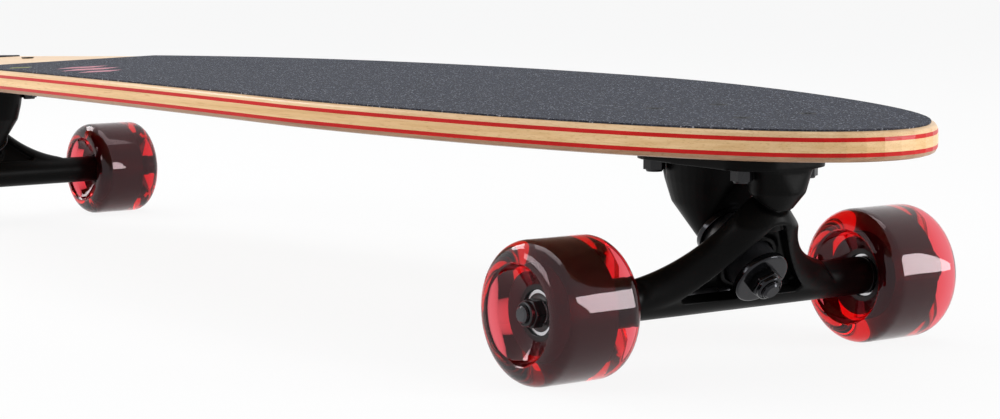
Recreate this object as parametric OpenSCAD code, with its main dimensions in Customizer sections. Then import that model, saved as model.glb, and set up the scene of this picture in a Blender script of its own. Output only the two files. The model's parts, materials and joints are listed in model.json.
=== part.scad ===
// Longboard skateboard: a pintail deck on two reverse kingpin trucks.
// +X points to the nose, +Y to the left, +Z up. The origin lies on the
// ground under the middle of the deck. All sizes are in millimetres.

/* [Deck] */
// Length of the deck from tail tip to nose tip
deck_length = 1067; // [1040:1:1100]
// Width of the deck at its widest point
deck_width = 264; // [250:1:280]
// Distance of the widest point ahead of the middle of the deck
wide_point = 223; // [190:1:240]
// Fullness of the nose: larger is blunter
nose_fullness = 1.56; // [1.4:0.02:2]
// Fullness of the tail: larger is blunter
tail_fullness = 1.95; // [1.7:0.05:2.4]
// Slope of the deck over each truck, from its camber
camber_angle = 1.2; // [0.4:0.1:2]
// Thickness of each of the four face veneers
face_ply = 1.25; // [1:0.05:1.5]
// Thickness of each of the two red veneers
red_ply = 1.9; // [1.5:0.05:2.1]
// Thickness of each of the three core veneers
core_ply = 1.65; // [1.4:0.05:1.9]
// Radius that rounds the edge of the deck
edge_radius = 3.5; // [2.5:0.1:5]

/* [Grip tape] */
// Thickness of the grip tape
grip_thickness = 0.9; // [0.6:0.1:1.2]
// Bare wood between the edge rounding and the grip tape
grip_margin = 0.2; // [0.1:0.1:3]
// Width of the bare band across the deck, along its length
band_width = 163; // [60:2:200]
// Distance of the band's front edge behind the middle of the deck
band_front = 263; // [240:1:300]
// Angle of the band away from square across the deck
band_angle = 25; // [0:1:30]

/* [Truck] */
// Distance between the two axles
wheelbase = 825; // [790:1:850]
// Distance from the front axle to the nose tip
nose_overhang = 116; // [105:1:130]
// Height of the top of the baseplate above the axle
truck_height = 69.6; // [68:0.2:74]
// Angle between the steering axis and the deck
steering_angle = 54; // [50:1:56]
// Distance of the axle below the steering axis
rake = 3; // [1:0.5:4]
// Distance from the axle to the middle of the bushing seat
seat_reach = 21.3; // [20:0.1:24]
// Distance from the bushing seat to the mouth of the pivot housing
pivot_reach = 36; // [35:0.5:39]
// Thickness of the riser pad under the deck
riser_thickness = 3; // [1.5:0.5:6]

/* [Baseplate] */
// Length of the baseplate's flange
flange_length = 94; // [90:1:100]
// Width of the baseplate's flange
flange_width = 58; // [56:1:64]
// Thickness of the flange
flange_thickness = 7; // [6:0.5:8]
// Corner radius of the flange
flange_corner = 19; // [12:1:19]
// Distance between the truck bolts along the deck
bolt_spacing_x = 63.5; // [62:0.5:66]
// Distance between the truck bolts across the deck
bolt_spacing_y = 41.3; // [40.5:0.1:43]

/* [Hanger] */
// Width of the hanger between its two wheel seats
hanger_width = 180; // [170:1:190]
// Radius of the hanger's axle tube and legs
tube_radius = 9.5; // [9:0.1:10]
// Radius of the hollow curve between a leg and the tube
leg_curve = 60; // [56:1:64]
// Distance of that curve's centre from the middle of the hanger
leg_centre = 74; // [72:1:76]
// Thickness of the web that holds the bushing seats
web_thickness = 8; // [7:0.5:9]
// Depth of the seat for each bushing
seat_depth = 2; // [1.5:0.5:2.5]

/* [Bushings and kingpin] */
// Radius of a bushing at its seat
bushing_radius = 13; // [12:0.1:13.2]
// Height of the roadside bushing
roadside_height = 14; // [12:0.5:15]
// Height of the boardside bushing
boardside_height = 15; // [14:0.5:16]
// Diameter of the kingpin
kingpin_diameter = 9.5; // [9:0.1:10]
// Thickness of the cup washers
cup_thickness = 2; // [1.5:0.25:2.5]

/* [Wheels] */
// Diameter of a wheel
wheel_diameter = 68; // [65:1:72]
// Width of a wheel
wheel_width = 49.7; // [46:0.1:52]
// Radius of the rounded shoulder of the tread
shoulder_radius = 9.3; // [6:0.1:10]
// Radius of the opening in the wheel's face
opening_radius = 23.1; // [22:0.1:24]
// Diameter of the wheel's core
core_diameter = 45; // [40:0.5:46]
// Length of the wheel's core
core_length = 25; // [24:0.5:27]

/* [Axle and bearings] */
// Diameter of the axle
axle_diameter = 8; // [8:0.1:8.2]
// Length of the axle
axle_length = 252; // [251:0.5:256]
// Outer diameter of a bearing
bearing_diameter = 22; // [22:0.5:23]
// Width of a bearing
bearing_width = 7; // [6.5:0.1:7]
// Diameter of a bearing ball
ball_diameter = 3.97; // [3.6:0.01:4]
// Distance between the two bearings of a wheel
spacer_length = 10; // [9:0.5:10.5]
// Thickness of a speed washer
speed_washer = 1; // [0.8:0.1:1.2]

/* [Hidden] */
$fn = 72;

// Ends and sides, as signs
front = 1;
rear = -1;
left = 1;
right = -1;

// Clearances
fit = 0.02;
running = 0.08;
loose = 0.25;
cut = 1;

// Deck layers, from the underside up
deck_thickness = 4 * face_ply + 2 * red_ply + 3 * core_ply;
lower_red_z = 2 * face_ply;
core_z = lower_red_z + red_ply;
upper_red_z = core_z + 3 * core_ply;
top_z = upper_red_z + red_ply;

// Deck outline and camber
stations_front = 22;
stations_rear = 32;
stations = stations_front + stations_rear;
nose_power = 1 / 2.11;
tail_power = 0.6;
front_x = deck_length / 2 - nose_overhang;
rear_x = front_x - wheelbase;
camber_x = (front_x + rear_x) / 2;
straight_half = 60;
arch_half = wheelbase / 2 - straight_half;
slope = tan(camber_angle);
axle_z = wheel_diameter / 2;
deck_stack = truck_height + riser_thickness + deck_thickness;
mount_z = axle_z + deck_stack / cos(camber_angle);
grip_inset = edge_radius + grip_margin;

// Hanger frame: the bushing seat lies on the steering axis
seat_w = -rake;
road_face = seat_w + web_thickness / 2;
board_face = seat_w - web_thickness / 2;
road_floor = road_face - seat_depth;
board_floor = board_face + seat_depth;
road_cup = road_floor + roadside_height;
board_cup = board_floor - boardside_height;
board_seat = board_cup - cup_thickness;
nut_seat = road_cup + cup_thickness;
kingpin_nut_height = 7;
kingpin_end = nut_seat + kingpin_nut_height + 2;
kingpin_wall = 12;
kingpin_shoulder = board_seat - kingpin_wall;
kingpin_head_height = 6.5;
kingpin_r = kingpin_diameter / 2;
kingpin_flats = 14.3;
kingpin_nut_r = kingpin_flats / 2 / cos(30);
cup_lip = 1.5;
cup_radius = bushing_radius + cup_lip;
ring_hole_r = kingpin_r + 3.25;
window_floor = road_face;
neck_flare = 1.1;
back_floor = board_face + 1.5;
boss_height = 2;
boss_wall = 3.2;
bushing_taper = 1;

// Pivot
mouth_v = seat_reach + pivot_reach;
neck_end = mouth_v - 3.3;
pivot_r = 6;
pivot_length = 8;
pivot_cup_r = 8.6;
pivot_cup_depth = 11;
housing_r = pivot_cup_r + 1.6;
neck_r = 8.8;

// Steering direction and kingpin direction in the plane of the truck
s_x = cos(steering_angle);
s_z = sin(steering_angle);
k_x = s_z;
k_z = -s_x;
function plane_x(v, w) = v * s_x + w * k_x;
function plane_z(v, w) = v * s_z + w * k_z;

// Truck bolts
bolt_r = 2.4;
bolt_hole_r = 2.6;
bolt_head_r = 4.7;
bolt_head_h = 2.6;
bolt_nut_flats = 9.5;
bolt_nut_r = bolt_nut_flats / 2 / cos(30);
bolt_nut_h = 6;
flange_z = truck_height - flange_thickness;
bolt_end_z = flange_z - bolt_nut_h + 0.6;
bolt_top_z = deck_stack + grip_thickness;

// Wheel, bearing and axle places along the axle
axle_r = axle_diameter / 2;
wheel_y = hanger_width / 2 + speed_washer + bearing_width + spacer_length / 2;
bearing_off = (spacer_length + bearing_width) / 2;
bearing_r = bearing_diameter / 2;
ball_r = ball_diameter / 2;
ball_count = 7;
ring_bore = axle_r + fit;
pitch_r = (bearing_r + ring_bore) / 2;
groove_r = ball_r + 0.05;
ring_gap_half = 1.55;
inner_ring_r = pitch_r - ring_gap_half;
outer_ring_r = pitch_r + ring_gap_half;
seal_thickness = 0.5;
seal_y = bearing_width / 2 - seal_thickness - 0.15;
cage_half = 1.0;
cage_width = 2 * seal_y - 0.5;
outer_washer_y = wheel_y + spacer_length / 2 + bearing_width;
axle_nut_y = outer_washer_y + speed_washer;
axle_nut_height = 8;
axle_nut_flats = 12.7;
axle_nut_r = axle_nut_flats / 2 / cos(30);
washer_r = 5.9;
core_r = core_diameter / 2;
core_rib_half = spacer_length / 2;
core_rib_r = 9;
collar_r = bearing_r + 2.3;
collar_half = core_length / 2 + 0.8;

// Half width of the outline at fraction a from the widest point to the nose
function nose_shape(a) = pow(max(0, 1 - pow(a, nose_fullness)), nose_power);
// Half width of the outline at fraction a from the widest point to the tail
function tail_shape(a) = pow(max(0, 1 - pow(a, tail_fullness)), tail_power);

// Point of station i, on the right-hand edge, at inset d
function edge_x(i, d) = i <= stations_rear
    ? wide_point - (deck_length / 2 + wide_point - d) * cos(90 * i / stations_rear)
    : wide_point + (deck_length / 2 - wide_point - d) * sin(90 * (i - stations_rear) / stations_front);
function edge_w(i, d) = (deck_width / 2 - d) * (i <= stations_rear
    ? tail_shape(cos(90 * i / stations_rear))
    : nose_shape(sin(90 * (i - stations_rear) / stations_front)));

// Height of the deck's top at x: a shallow arch that runs straight over the trucks
function top_height(x) = let (e = abs(x - camber_x))
    e < arch_half
        ? mount_z + slope * (straight_half + (arch_half * arch_half - e * e) / (2 * arch_half))
        : mount_z - slope * (e - wheelbase / 2);

// Inset of the rounded edge at height h above the underside
function round_inset(h) = let (d = min(h, deck_thickness - h))
    d >= edge_radius ? 0 : edge_radius - sqrt(max(0, edge_radius * edge_radius - pow(edge_radius - d, 2)));

// Loop of points round the outline at height h and inset d, counter-clockwise from the tail
function ring_points(h, d) = [
    for (k = [0 : 2 * stations - 1])
        let (i = k <= stations ? k : 2 * stations - k, side = k <= stations ? -1 : 1, x = edge_x(i, min(d, edge_radius)))
        [x, side * edge_w(i, d), top_height(x) - (deck_thickness - h) / cos(camber_angle)]
];

// Solid between rings, each given as [height, inset], from the lowest up
module layer(rings) {
    m = 2 * stations;
    top = (len(rings) - 1) * m;
    points = [for (r = rings) each ring_points(r[0], r[1])];
    walls = [
        for (j = [0 : len(rings) - 2], k = [0 : m - 1])
            let (a = j * m + k, b = j * m + (k + 1) % m)
            each [[a, a + m, b + m], [a, b + m, b]]
    ];
    function other(i) = (m - i) % m;
    strips = [
        for (i = [0 : stations - 1])
            let (p = i, q = i + 1, r = other(i + 1), s = other(i))
            each [
                i == 0 ? [top, top + r, top + q]
                    : i == stations - 1 ? [top + p, top + s, top + q]
                    : [top + p, top + s, top + r, top + q],
                i == 0 ? [0, q, r] : i == stations - 1 ? [p, q, s] : [p, q, r, s]
            ]
    ];
    polyhedron(points = points, faces = concat(walls, strips), convexity = 4);
}

// One veneer of the deck, whose edge follows the rounding in a number of steps
module veneer(low, high, steps = 1) {
    layer([for (j = [0 : steps]) let (h = low + (high - low) * j / steps) [h, round_inset(h)]]);
}

// Places its children in the frame of one truck: origin on the axle, Z square to the deck
module at_truck(end) {
    translate([end == front ? front_x : rear_x, 0, axle_z])
        mirror([end == front ? 0 : 1, 0, 0])
            rotate([0, camber_angle, 0]) children();
}

// Places its children in the hanger's frame: X along the axle, Y up the steering axis, Z down the kingpin
module in_hanger() {
    rotate([0, 180 - steering_angle, 0]) rotate([0, 0, 90]) children();
}

// Turns a revolved child so that it runs along the kingpin, at height w
module on_kingpin(w = 0) {
    in_hanger() translate([0, seat_reach, w]) children();
}

// Turns a revolved child so that it runs along the steering axis, at height v
module on_pivot(v) {
    in_hanger() translate([0, v, seat_w]) rotate([-90, 0, 0]) children();
}

// Turns a revolved child so that it runs along the axle of a truck, at y
module on_axle(y) {
    translate([0, y, 0]) rotate([-90, 0, 0]) children();
}

// Places its children at a wheel's centre
module at_wheel(end, side) {
    at_truck(end) on_axle(side * wheel_y) children();
}

module at_bolts() {
    for (x = [-1, 1], y = [-1, 1])
        translate([x * bolt_spacing_x / 2, y * bolt_spacing_y / 2, 0]) children();
}

module ring(outer, inner, height) {
    difference() {
        cylinder(r = outer, h = height);
        translate([0, 0, -cut]) cylinder(r = inner, h = height + 2 * cut);
    }
}

// Slab with rounded corners, from z = 0 up
module rounded_slab(length, width, corner, height) {
    linear_extrude(height) union() {
        square([length - 2 * corner, width], center = true);
        square([length, width - 2 * corner], center = true);
        for (x = [-1, 1], y = [-1, 1])
            translate([x * (length / 2 - corner), y * (width / 2 - corner)]) circle(corner);
    }
}

// Ellipse-shaped slice of a housing
module oval_slice(x, z, half_length, half_width, height) {
    translate([x, 0, z]) scale([half_length / half_width, 1, 1]) cylinder(r = half_width, h = height, $fn = 36);
}

/* Deck */

// Holes for the truck bolts and their countersunk heads, through deck and grip
module bolt_holes() {
    for (end = [front, rear]) at_truck(end) at_bolts() {
        translate([0, 0, truck_height - cut]) cylinder(r = bolt_hole_r, h = deck_stack);
        translate([0, 0, bolt_top_z - bolt_head_h - running])
            cylinder(r1 = bolt_r + running, r2 = bolt_head_r + 2 * running, h = bolt_head_h + running);
        translate([0, 0, bolt_top_z - running]) cylinder(r = bolt_head_r + 2 * running, h = 4 * cut);
    }
}

module deck_top_plies() {
    color("#e0c197") for (n = [0, 1]) difference() {
        veneer(top_z + n * face_ply, top_z + (n + 1) * face_ply, 1 + n);
        bolt_holes();
    }
}

module deck_upper_red_ply() {
    color("#a81414") difference() {
        veneer(upper_red_z, top_z);
        bolt_holes();
    }
}

module deck_core_plies() {
    color("#e6cca4") for (n = [0 : 2]) difference() {
        veneer(core_z + n * core_ply, core_z + (n + 1) * core_ply);
        bolt_holes();
    }
}

module deck_lower_red_ply() {
    color("#a81414") difference() {
        veneer(lower_red_z, core_z);
        bolt_holes();
    }
}

module deck_bottom_plies() {
    color("#b8906a") for (n = [0, 1]) difference() {
        veneer(n * face_ply, (n + 1) * face_ply, 2 - n);
        bolt_holes();
    }
}

module grip_tape() {
    color("#4a4f57") difference() {
        layer([[deck_thickness, grip_inset], [deck_thickness + grip_thickness, grip_inset]]);
        translate([-band_front, 0, 0]) rotate([0, 0, band_angle])
            translate([-band_width * cos(band_angle), -deck_width, 0])
                cube([band_width * cos(band_angle), 2 * deck_width, 2 * mount_z]);
        bolt_holes();
    }
}

module deck_bolts() {
    color("#1b1b1d") for (end = [front, rear]) at_truck(end) at_bolts() {
        translate([0, 0, bolt_end_z]) cylinder(r = bolt_r, h = bolt_top_z - bolt_head_h - bolt_end_z);
        translate([0, 0, bolt_top_z - bolt_head_h]) difference() {
            cylinder(r1 = bolt_r, r2 = bolt_head_r, h = bolt_head_h);
            for (a = [0, 90]) rotate([0, 0, a])
                translate([-2.4, -0.5, bolt_head_h - 1.4]) cube([4.8, 1, 1.4 + cut]);
        }
    }
}

module deck_nuts() {
    collar = 1.1;
    color("#151517") for (end = [front, rear]) at_truck(end) at_bolts()
        translate([0, 0, flange_z - bolt_nut_h]) difference() {
            union() {
                translate([0, 0, collar]) cylinder(r = bolt_nut_r, h = bolt_nut_h - collar, $fn = 6);
                cylinder(r1 = bolt_nut_flats / 2 - 0.9, r2 = bolt_nut_flats / 2 - 0.1, h = collar + 0.5);
            }
            translate([0, 0, -cut]) cylinder(r = bolt_r + fit, h = bolt_nut_h + 2 * cut);
        }
}

/* Truck: pieces that stay with the deck */

module riser_pad() {
    color("#26272a") difference() {
        translate([0, 0, truck_height])
            rounded_slab(flange_length + 1.5, flange_width + 1.5, flange_corner + 0.75, riser_thickness);
        at_bolts() translate([0, 0, truck_height - cut])
            cylinder(r = bolt_hole_r, h = riser_thickness + 2 * cut);
    }
}

kingpin_lobe_x = -14;
kingpin_lobe_half = 30;
kingpin_lobe_width = 19.5;
lobe_mid_z = truck_height - 27.6;
kingpin_waist_z = truck_height - 17;
kingpin_waist_half = 26.6;
kingpin_waist_width = 18.6;
kingpin_mid_half = 21.6;
kingpin_mid_width = 16.6;
kingpin_rim = 1;
pivot_lobe_x = 32;
pivot_lobe_r = 13.9;
pivot_corner_x = 37.2;
pivot_corner_y = 7.4;
pivot_corner_r = 9;
pivot_mid_z = truck_height - 18.6;
lobe_reach = truck_height / 1.6;

// Cast housing round the kingpin, cut square where the cup washer bears
module kingpin_lobe() {
    difference() {
        hull() {
            oval_slice(kingpin_lobe_x, flange_z, kingpin_lobe_half, kingpin_lobe_width, 1);
            oval_slice(kingpin_lobe_x, kingpin_waist_z, kingpin_waist_half, kingpin_waist_width, 1);
            oval_slice(kingpin_lobe_x, lobe_mid_z, kingpin_mid_half, kingpin_mid_width, 1);
            on_kingpin(board_seat - 3) cylinder(r = bushing_radius - kingpin_rim, h = 3 + cut, $fn = 36);
        }
        on_kingpin(board_seat) translate([-lobe_reach, -lobe_reach / 2, 0])
            cube([2 * lobe_reach, 2 * lobe_reach, lobe_reach]);
    }
}

// Cast housing round the pivot cup, cut square at its mouth
module pivot_lobe() {
    difference() {
        hull() {
            oval_slice(pivot_lobe_x, flange_z, pivot_lobe_r, pivot_lobe_r, 3);
            for (side = [-1, 1]) translate([pivot_corner_x, side * pivot_corner_y, flange_z])
                cylinder(r = pivot_corner_r, h = 1, $fn = 36);
            oval_slice(pivot_lobe_x + 1.8, pivot_mid_z, pivot_lobe_r - 1.2, pivot_lobe_r + 0.3, 1);
            on_pivot(mouth_v - cut) cylinder(r = housing_r, h = 3, $fn = 36);
        }
        on_pivot(mouth_v - lobe_reach) translate([-lobe_reach, -lobe_reach, 0])
            cube([2 * lobe_reach, 2 * lobe_reach, lobe_reach]);
    }
}

// Space for the kingpin's head, open to the top of the flange
module kingpin_pocket() {
    hull() for (rise = [0, truck_height])
        translate([0, 0, rise]) on_kingpin(kingpin_shoulder - kingpin_head_height - 1)
            cylinder(r = kingpin_nut_r + loose, h = kingpin_head_height + 1, $fn = 6);
}

module baseplate() {
    color("#1d1e20") difference() {
        union() {
            translate([0, 0, flange_z]) rounded_slab(flange_length, flange_width, flange_corner, flange_thickness);
            kingpin_lobe();
            pivot_lobe();
        }
        on_kingpin(kingpin_shoulder - cut) cylinder(r = kingpin_r + fit, h = kingpin_wall + 2 * cut);
        kingpin_pocket();
        on_pivot(mouth_v - cut) cylinder(r = pivot_cup_r + fit, h = pivot_cup_depth + cut);
        at_bolts() {
            translate([0, 0, flange_z - cut]) cylinder(r = bolt_hole_r, h = flange_thickness + 2 * cut);
            translate([0, 0, flange_z - 5 * bolt_nut_h]) cylinder(r = bolt_nut_r + 0.4, h = 5 * bolt_nut_h);
        }
    }
}

module pivot_cup() {
    color("#101012") on_pivot(mouth_v) difference() {
        cylinder(r = pivot_cup_r, h = pivot_cup_depth);
        translate([0, 0, -cut]) cylinder(r = pivot_r + running, h = pivot_length - pivot_r + cut);
        translate([0, 0, pivot_length - pivot_r]) sphere(pivot_r + running);
    }
}

module kingpin() {
    chamfer = 1.2;
    color("#17171a") on_kingpin(kingpin_shoulder) union() {
        cylinder(r = kingpin_r, h = kingpin_end - kingpin_shoulder - chamfer);
        translate([0, 0, kingpin_end - kingpin_shoulder - chamfer])
            cylinder(r1 = kingpin_r, r2 = kingpin_r - chamfer, h = chamfer);
        translate([0, 0, -kingpin_head_height]) cylinder(r = kingpin_nut_r, h = kingpin_head_height, $fn = 6);
    }
}

module kingpin_nut() {
    collar = 2.2;
    color("#17171a") on_kingpin(nut_seat) difference() {
        union() {
            cylinder(r = kingpin_nut_r, h = kingpin_nut_height - collar, $fn = 6);
            cylinder(r1 = kingpin_flats / 2, r2 = kingpin_flats / 2 - 1.4, h = kingpin_nut_height);
        }
        translate([0, 0, -cut]) cylinder(r = kingpin_r + fit, h = kingpin_nut_height + 2 * cut);
    }
}

// Bushing with softened rims, standing on its seat at z = 0
module bushing(height) {
    rim = 1;
    rotate_extrude() polygon([
        [kingpin_r + loose, 0], [bushing_radius - loose - rim, 0], [bushing_radius - loose, rim],
        [bushing_radius - loose - bushing_taper / 2, height - rim],
        [bushing_radius - loose - bushing_taper / 2 - rim, height], [kingpin_r + loose, height]
    ]);
}

module roadside_bushing() {
    color("#141416") on_kingpin(road_floor) bushing(roadside_height);
}

module boardside_bushing() {
    color("#141416") on_kingpin(board_floor) mirror([0, 0, 1]) bushing(boardside_height);
}

// Cup washer whose lip reaches back over its bushing
module cup_washer() {
    rotate_extrude() polygon([
        [kingpin_r + loose, 0], [bushing_radius - bushing_taper / 2, 0],
        [bushing_radius, -cup_lip], [cup_radius, -cup_lip],
        [cup_radius, cup_thickness - 1], [cup_radius - 1, cup_thickness], [kingpin_r + loose, cup_thickness]
    ]);
}

module cup_washers() {
    color("#202124") {
        on_kingpin(road_cup) cup_washer();
        on_kingpin(board_cup) mirror([0, 0, 1]) cup_washer();
    }
}

/* Truck: pieces that steer */

web_half = tube_radius - 0.6;
leg_r = tube_radius - 0.3;
leg_radius = leg_curve + tube_radius;
window_low = 3.4;
window_high = seat_reach + 28.7;
window_half = 39;
window_corner = 3;
window_tip = 3.2;
window_waist = 22.7;
window_waist_v = seat_reach - 0.9;
window_steps = 8;

// Outline between the centre lines of the two legs
module web_outline() {
    difference() {
        translate([-leg_centre, 0]) square([2 * leg_centre, neck_end]);
        for (side = [-1, 1]) translate([side * leg_centre, leg_radius]) circle(leg_radius);
    }
}

// Point at share t of the window's hollow right-hand side, inset by d
function window_side(t, d) =
    (1 - t) * (1 - t) * [window_half - d, window_low + window_corner + d]
    + 2 * t * (1 - t) * [window_waist - d, window_waist_v + d / 2]
    + t * t * [window_tip - d / 2, window_high - d];

// Three-cornered window whose sides follow the legs, inset by d
module window_outline(d = 0) {
    right_side = [for (k = [0 : window_steps]) window_side(k / window_steps, d)];
    left_side = [for (k = [0 : window_steps]) let (q = window_side(1 - k / window_steps, d)) [-q[0], q[1]]];
    polygon(concat(
        [[-window_half + window_corner + d, window_low + d], [window_half - window_corner - d, window_low + d]],
        right_side, left_side
    ));
}

// Rounded leg along the hollow curve, from the tube up to the neck
module leg(side) {
    translate([side * leg_centre, leg_radius, 0]) mirror([side < 0 ? 1 : 0, 0, 0])
        rotate([0, 0, 180]) rotate_extrude(angle = 90) translate([leg_radius, 0]) circle(leg_r);
}

// Cast web and legs, trimmed square at the neck
module hanger_web() {
    intersection() {
        union() {
            translate([0, 0, -web_half]) linear_extrude(2 * web_half) web_outline();
            for (side = [-1, 1]) leg(side);
        }
        translate([0, neck_end, seat_w]) rotate([90, 0, 0])
            cylinder(r1 = neck_r + 0.6, r2 = neck_r + 0.6 + neck_flare * (neck_end + tube_radius),
                     h = neck_end + tube_radius);
    }
}

module hanger() {
    color("#1a1b1d") difference() {
        union() {
            difference() {
                union() {
                    on_axle(-hanger_width / 2) cylinder(r = tube_radius, h = hanger_width);
                    in_hanger() hanger_web();
                }
                in_hanger() {
                    translate([0, 0, window_floor]) linear_extrude(2 * tube_radius) window_outline();
                    translate([0, 0, back_floor - 2 * tube_radius]) linear_extrude(2 * tube_radius)
                        window_outline(2);
                }
            }
            on_kingpin(board_face - 1) cylinder(r = bushing_radius + boss_wall, h = web_thickness + boss_height + 1);
            on_pivot(neck_end - 9) cylinder(r1 = neck_r + 2.2, r2 = neck_r, h = 9);
            on_pivot(neck_end) cylinder(r = pivot_r, h = mouth_v - neck_end + pivot_length - pivot_r);
            on_pivot(mouth_v + pivot_length - pivot_r) sphere(pivot_r);
        }
        on_axle(-hanger_width / 2 - cut) cylinder(r = axle_r + fit, h = hanger_width + 2 * cut);
        on_kingpin(road_floor) cylinder(r = bushing_radius + loose, h = 3 * tube_radius);
        on_kingpin(board_floor - 3 * tube_radius) cylinder(r = bushing_radius + loose, h = 3 * tube_radius);
        on_kingpin(board_floor - cut) cylinder(r = ring_hole_r, h = road_floor - board_floor + 2 * cut);
    }
}

module axle() {
    chamfer = 0.8;
    color("#2a2b2e") on_axle(-axle_length / 2) union() {
        cylinder(r1 = axle_r - chamfer, r2 = axle_r, h = chamfer);
        translate([0, 0, chamfer]) cylinder(r = axle_r, h = axle_length - 2 * chamfer);
        translate([0, 0, axle_length - chamfer]) cylinder(r1 = axle_r, r2 = axle_r - chamfer, h = chamfer);
    }
}

// Lock nut that stands on z = 0
module axle_nut() {
    collar = 2.4;
    difference() {
        union() {
            cylinder(r = axle_nut_r, h = axle_nut_height - collar, $fn = 6);
            cylinder(r1 = axle_nut_flats / 2, r2 = axle_nut_flats / 2 - 1.2, h = axle_nut_height);
        }
        translate([0, 0, -cut]) cylinder(r = axle_r + fit, h = axle_nut_height + 2 * cut);
    }
}

module axle_nuts() {
    color("#141416") for (side = [left, right])
        mirror([0, side < 0 ? 1 : 0, 0]) on_axle(axle_nut_y) axle_nut();
}

module speed_washers() {
    color("#8e9094") for (side = [left, right], y = [hanger_width / 2, outer_washer_y])
        mirror([0, side < 0 ? 1 : 0, 0]) on_axle(y) ring(washer_r, ring_bore, speed_washer);
}

module bearing_spacers() {
    color("#a0a2a6") for (side = [left, right])
        on_axle(side * wheel_y - spacer_length / 2) ring(inner_ring_r - 0.2, ring_bore, spacer_length);
}

// Places its children at the middle of each bearing of a wheel
module at_bearings() {
    for (n = [-1, 1]) translate([0, 0, n * bearing_off]) children();
}

module bearing_inner_rings() {
    color("#b9bbbe") for (side = [left, right]) on_axle(side * wheel_y) at_bearings()
        rotate_extrude() difference() {
            translate([ring_bore, -bearing_width / 2]) square([inner_ring_r - ring_bore, bearing_width]);
            translate([pitch_r, 0]) circle(groove_r);
        }
}

/* Wheel, about its own axle along Z */

opening_half = wheel_width / 2 - 1.5;

module tyre() {
    half = wheel_width / 2;
    r = wheel_diameter / 2;
    color("#c8283c") rotate_extrude() difference() {
        union() {
            square_from(core_r, -half, r - shoulder_radius, half);
            square_from(core_r, -half + shoulder_radius, r, half - shoulder_radius);
            for (side = [-1, 1])
                translate([r - shoulder_radius, side * (half - shoulder_radius)]) circle(shoulder_radius);
        }
        for (side = [-1, 1]) polygon([
            [0, side * core_length / 4], [collar_r, side * core_length / 4], [collar_r, side * collar_half],
            [opening_radius - 1.2, side * (opening_half - 2.2)], [opening_radius, side * opening_half], [opening_radius + 1.6, side * (half + 0.01)],
            [opening_radius + 1.6, side * (half + cut)], [0, side * (half + cut)]
        ]);
        square_from(0, -core_length / 2, core_r, core_length / 2);
    }
}

// Rectangle between two corners
module square_from(x0, y0, x1, y1) {
    translate([x0, y0]) square([x1 - x0, y1 - y0]);
}

module core() {
    color("#121214") rotate_extrude() difference() {
        union() {
            square_from(core_rib_r, -core_length / 2, core_r, core_length / 2);
            square_from(core_rib_r, -collar_half, collar_r, collar_half);
        }
        for (side = [-1, 1])
            square_from(0, side > 0 ? core_rib_half : -core_length, bearing_r, side > 0 ? core_length : -core_rib_half);
    }
}

module outer_rings() {
    color("#c9cbce") at_bearings() rotate_extrude() difference() {
        square_from(outer_ring_r, -bearing_width / 2, bearing_r, bearing_width / 2);
        translate([pitch_r, 0]) circle(groove_r);
    }
}

module seals() {
    color("#101012") at_bearings() for (side = [-1, 1])
        translate([0, 0, side > 0 ? seal_y : -seal_y - seal_thickness])
            ring(outer_ring_r, inner_ring_r + 0.12, seal_thickness);
}

module bearing_balls() {
    color("#d5d7da") at_bearings() for (n = [0 : ball_count - 1])
        rotate([0, 0, 360 * n / ball_count]) translate([pitch_r, 0, 0]) sphere(ball_r, $fn = 32);
}

module cages() {
    color("#7a7468") at_bearings() difference() {
        translate([0, 0, -cage_width / 2]) ring(pitch_r + cage_half, pitch_r - cage_half, cage_width);
        for (n = [0 : ball_count - 1])
            rotate([0, 90, 360 * n / ball_count])
                translate([0, 0, pitch_r - 2 * cage_half]) cylinder(r = ball_r + running, h = 4 * cage_half, $fn = 36);
    }
}

grip_tape();
deck_top_plies();
deck_upper_red_ply();
deck_core_plies();
deck_lower_red_ply();
deck_bottom_plies();
deck_bolts();
deck_nuts();
at_truck(front) riser_pad();  // front_riser_pad
at_truck(front) baseplate();  // front_baseplate
at_truck(front) pivot_cup();  // front_pivot_cup
at_truck(front) kingpin();  // front_kingpin
at_truck(front) kingpin_nut();  // front_kingpin_nut
at_truck(front) boardside_bushing();  // front_boardside_bushing
at_truck(front) roadside_bushing();  // front_roadside_bushing
at_truck(front) cup_washers();  // front_cup_washers
at_truck(front) hanger();  // front_hanger
at_truck(front) axle();  // front_axle
at_truck(front) axle_nuts();  // front_axle_nuts
at_truck(front) speed_washers();  // front_speed_washers
at_truck(front) bearing_inner_rings();  // front_bearing_inner_rings
at_truck(front) bearing_spacers();  // front_bearing_spacers
at_truck(rear) riser_pad();  // rear_riser_pad
at_truck(rear) baseplate();  // rear_baseplate
at_truck(rear) pivot_cup();  // rear_pivot_cup
at_truck(rear) kingpin();  // rear_kingpin
at_truck(rear) kingpin_nut();  // rear_kingpin_nut
at_truck(rear) boardside_bushing();  // rear_boardside_bushing
at_truck(rear) roadside_bushing();  // rear_roadside_bushing
at_truck(rear) cup_washers();  // rear_cup_washers
at_truck(rear) hanger();  // rear_hanger
at_truck(rear) axle();  // rear_axle
at_truck(rear) axle_nuts();  // rear_axle_nuts
at_truck(rear) speed_washers();  // rear_speed_washers
at_truck(rear) bearing_inner_rings();  // rear_bearing_inner_rings
at_truck(rear) bearing_spacers();  // rear_bearing_spacers
at_wheel(front, left) tyre();  // front_left_tyre
at_wheel(front, left) core();  // front_left_core
at_wheel(front, left) outer_rings();  // front_left_outer_rings
at_wheel(front, left) seals();  // front_left_seals
at_wheel(front, left) bearing_balls();  // front_left_balls
at_wheel(front, left) cages();  // front_left_cages
at_wheel(front, right) tyre();  // front_right_tyre
at_wheel(front, right) core();  // front_right_core
at_wheel(front, right) outer_rings();  // front_right_outer_rings
at_wheel(front, right) seals();  // front_right_seals
at_wheel(front, right) bearing_balls();  // front_right_balls
at_wheel(front, right) cages();  // front_right_cages
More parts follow.
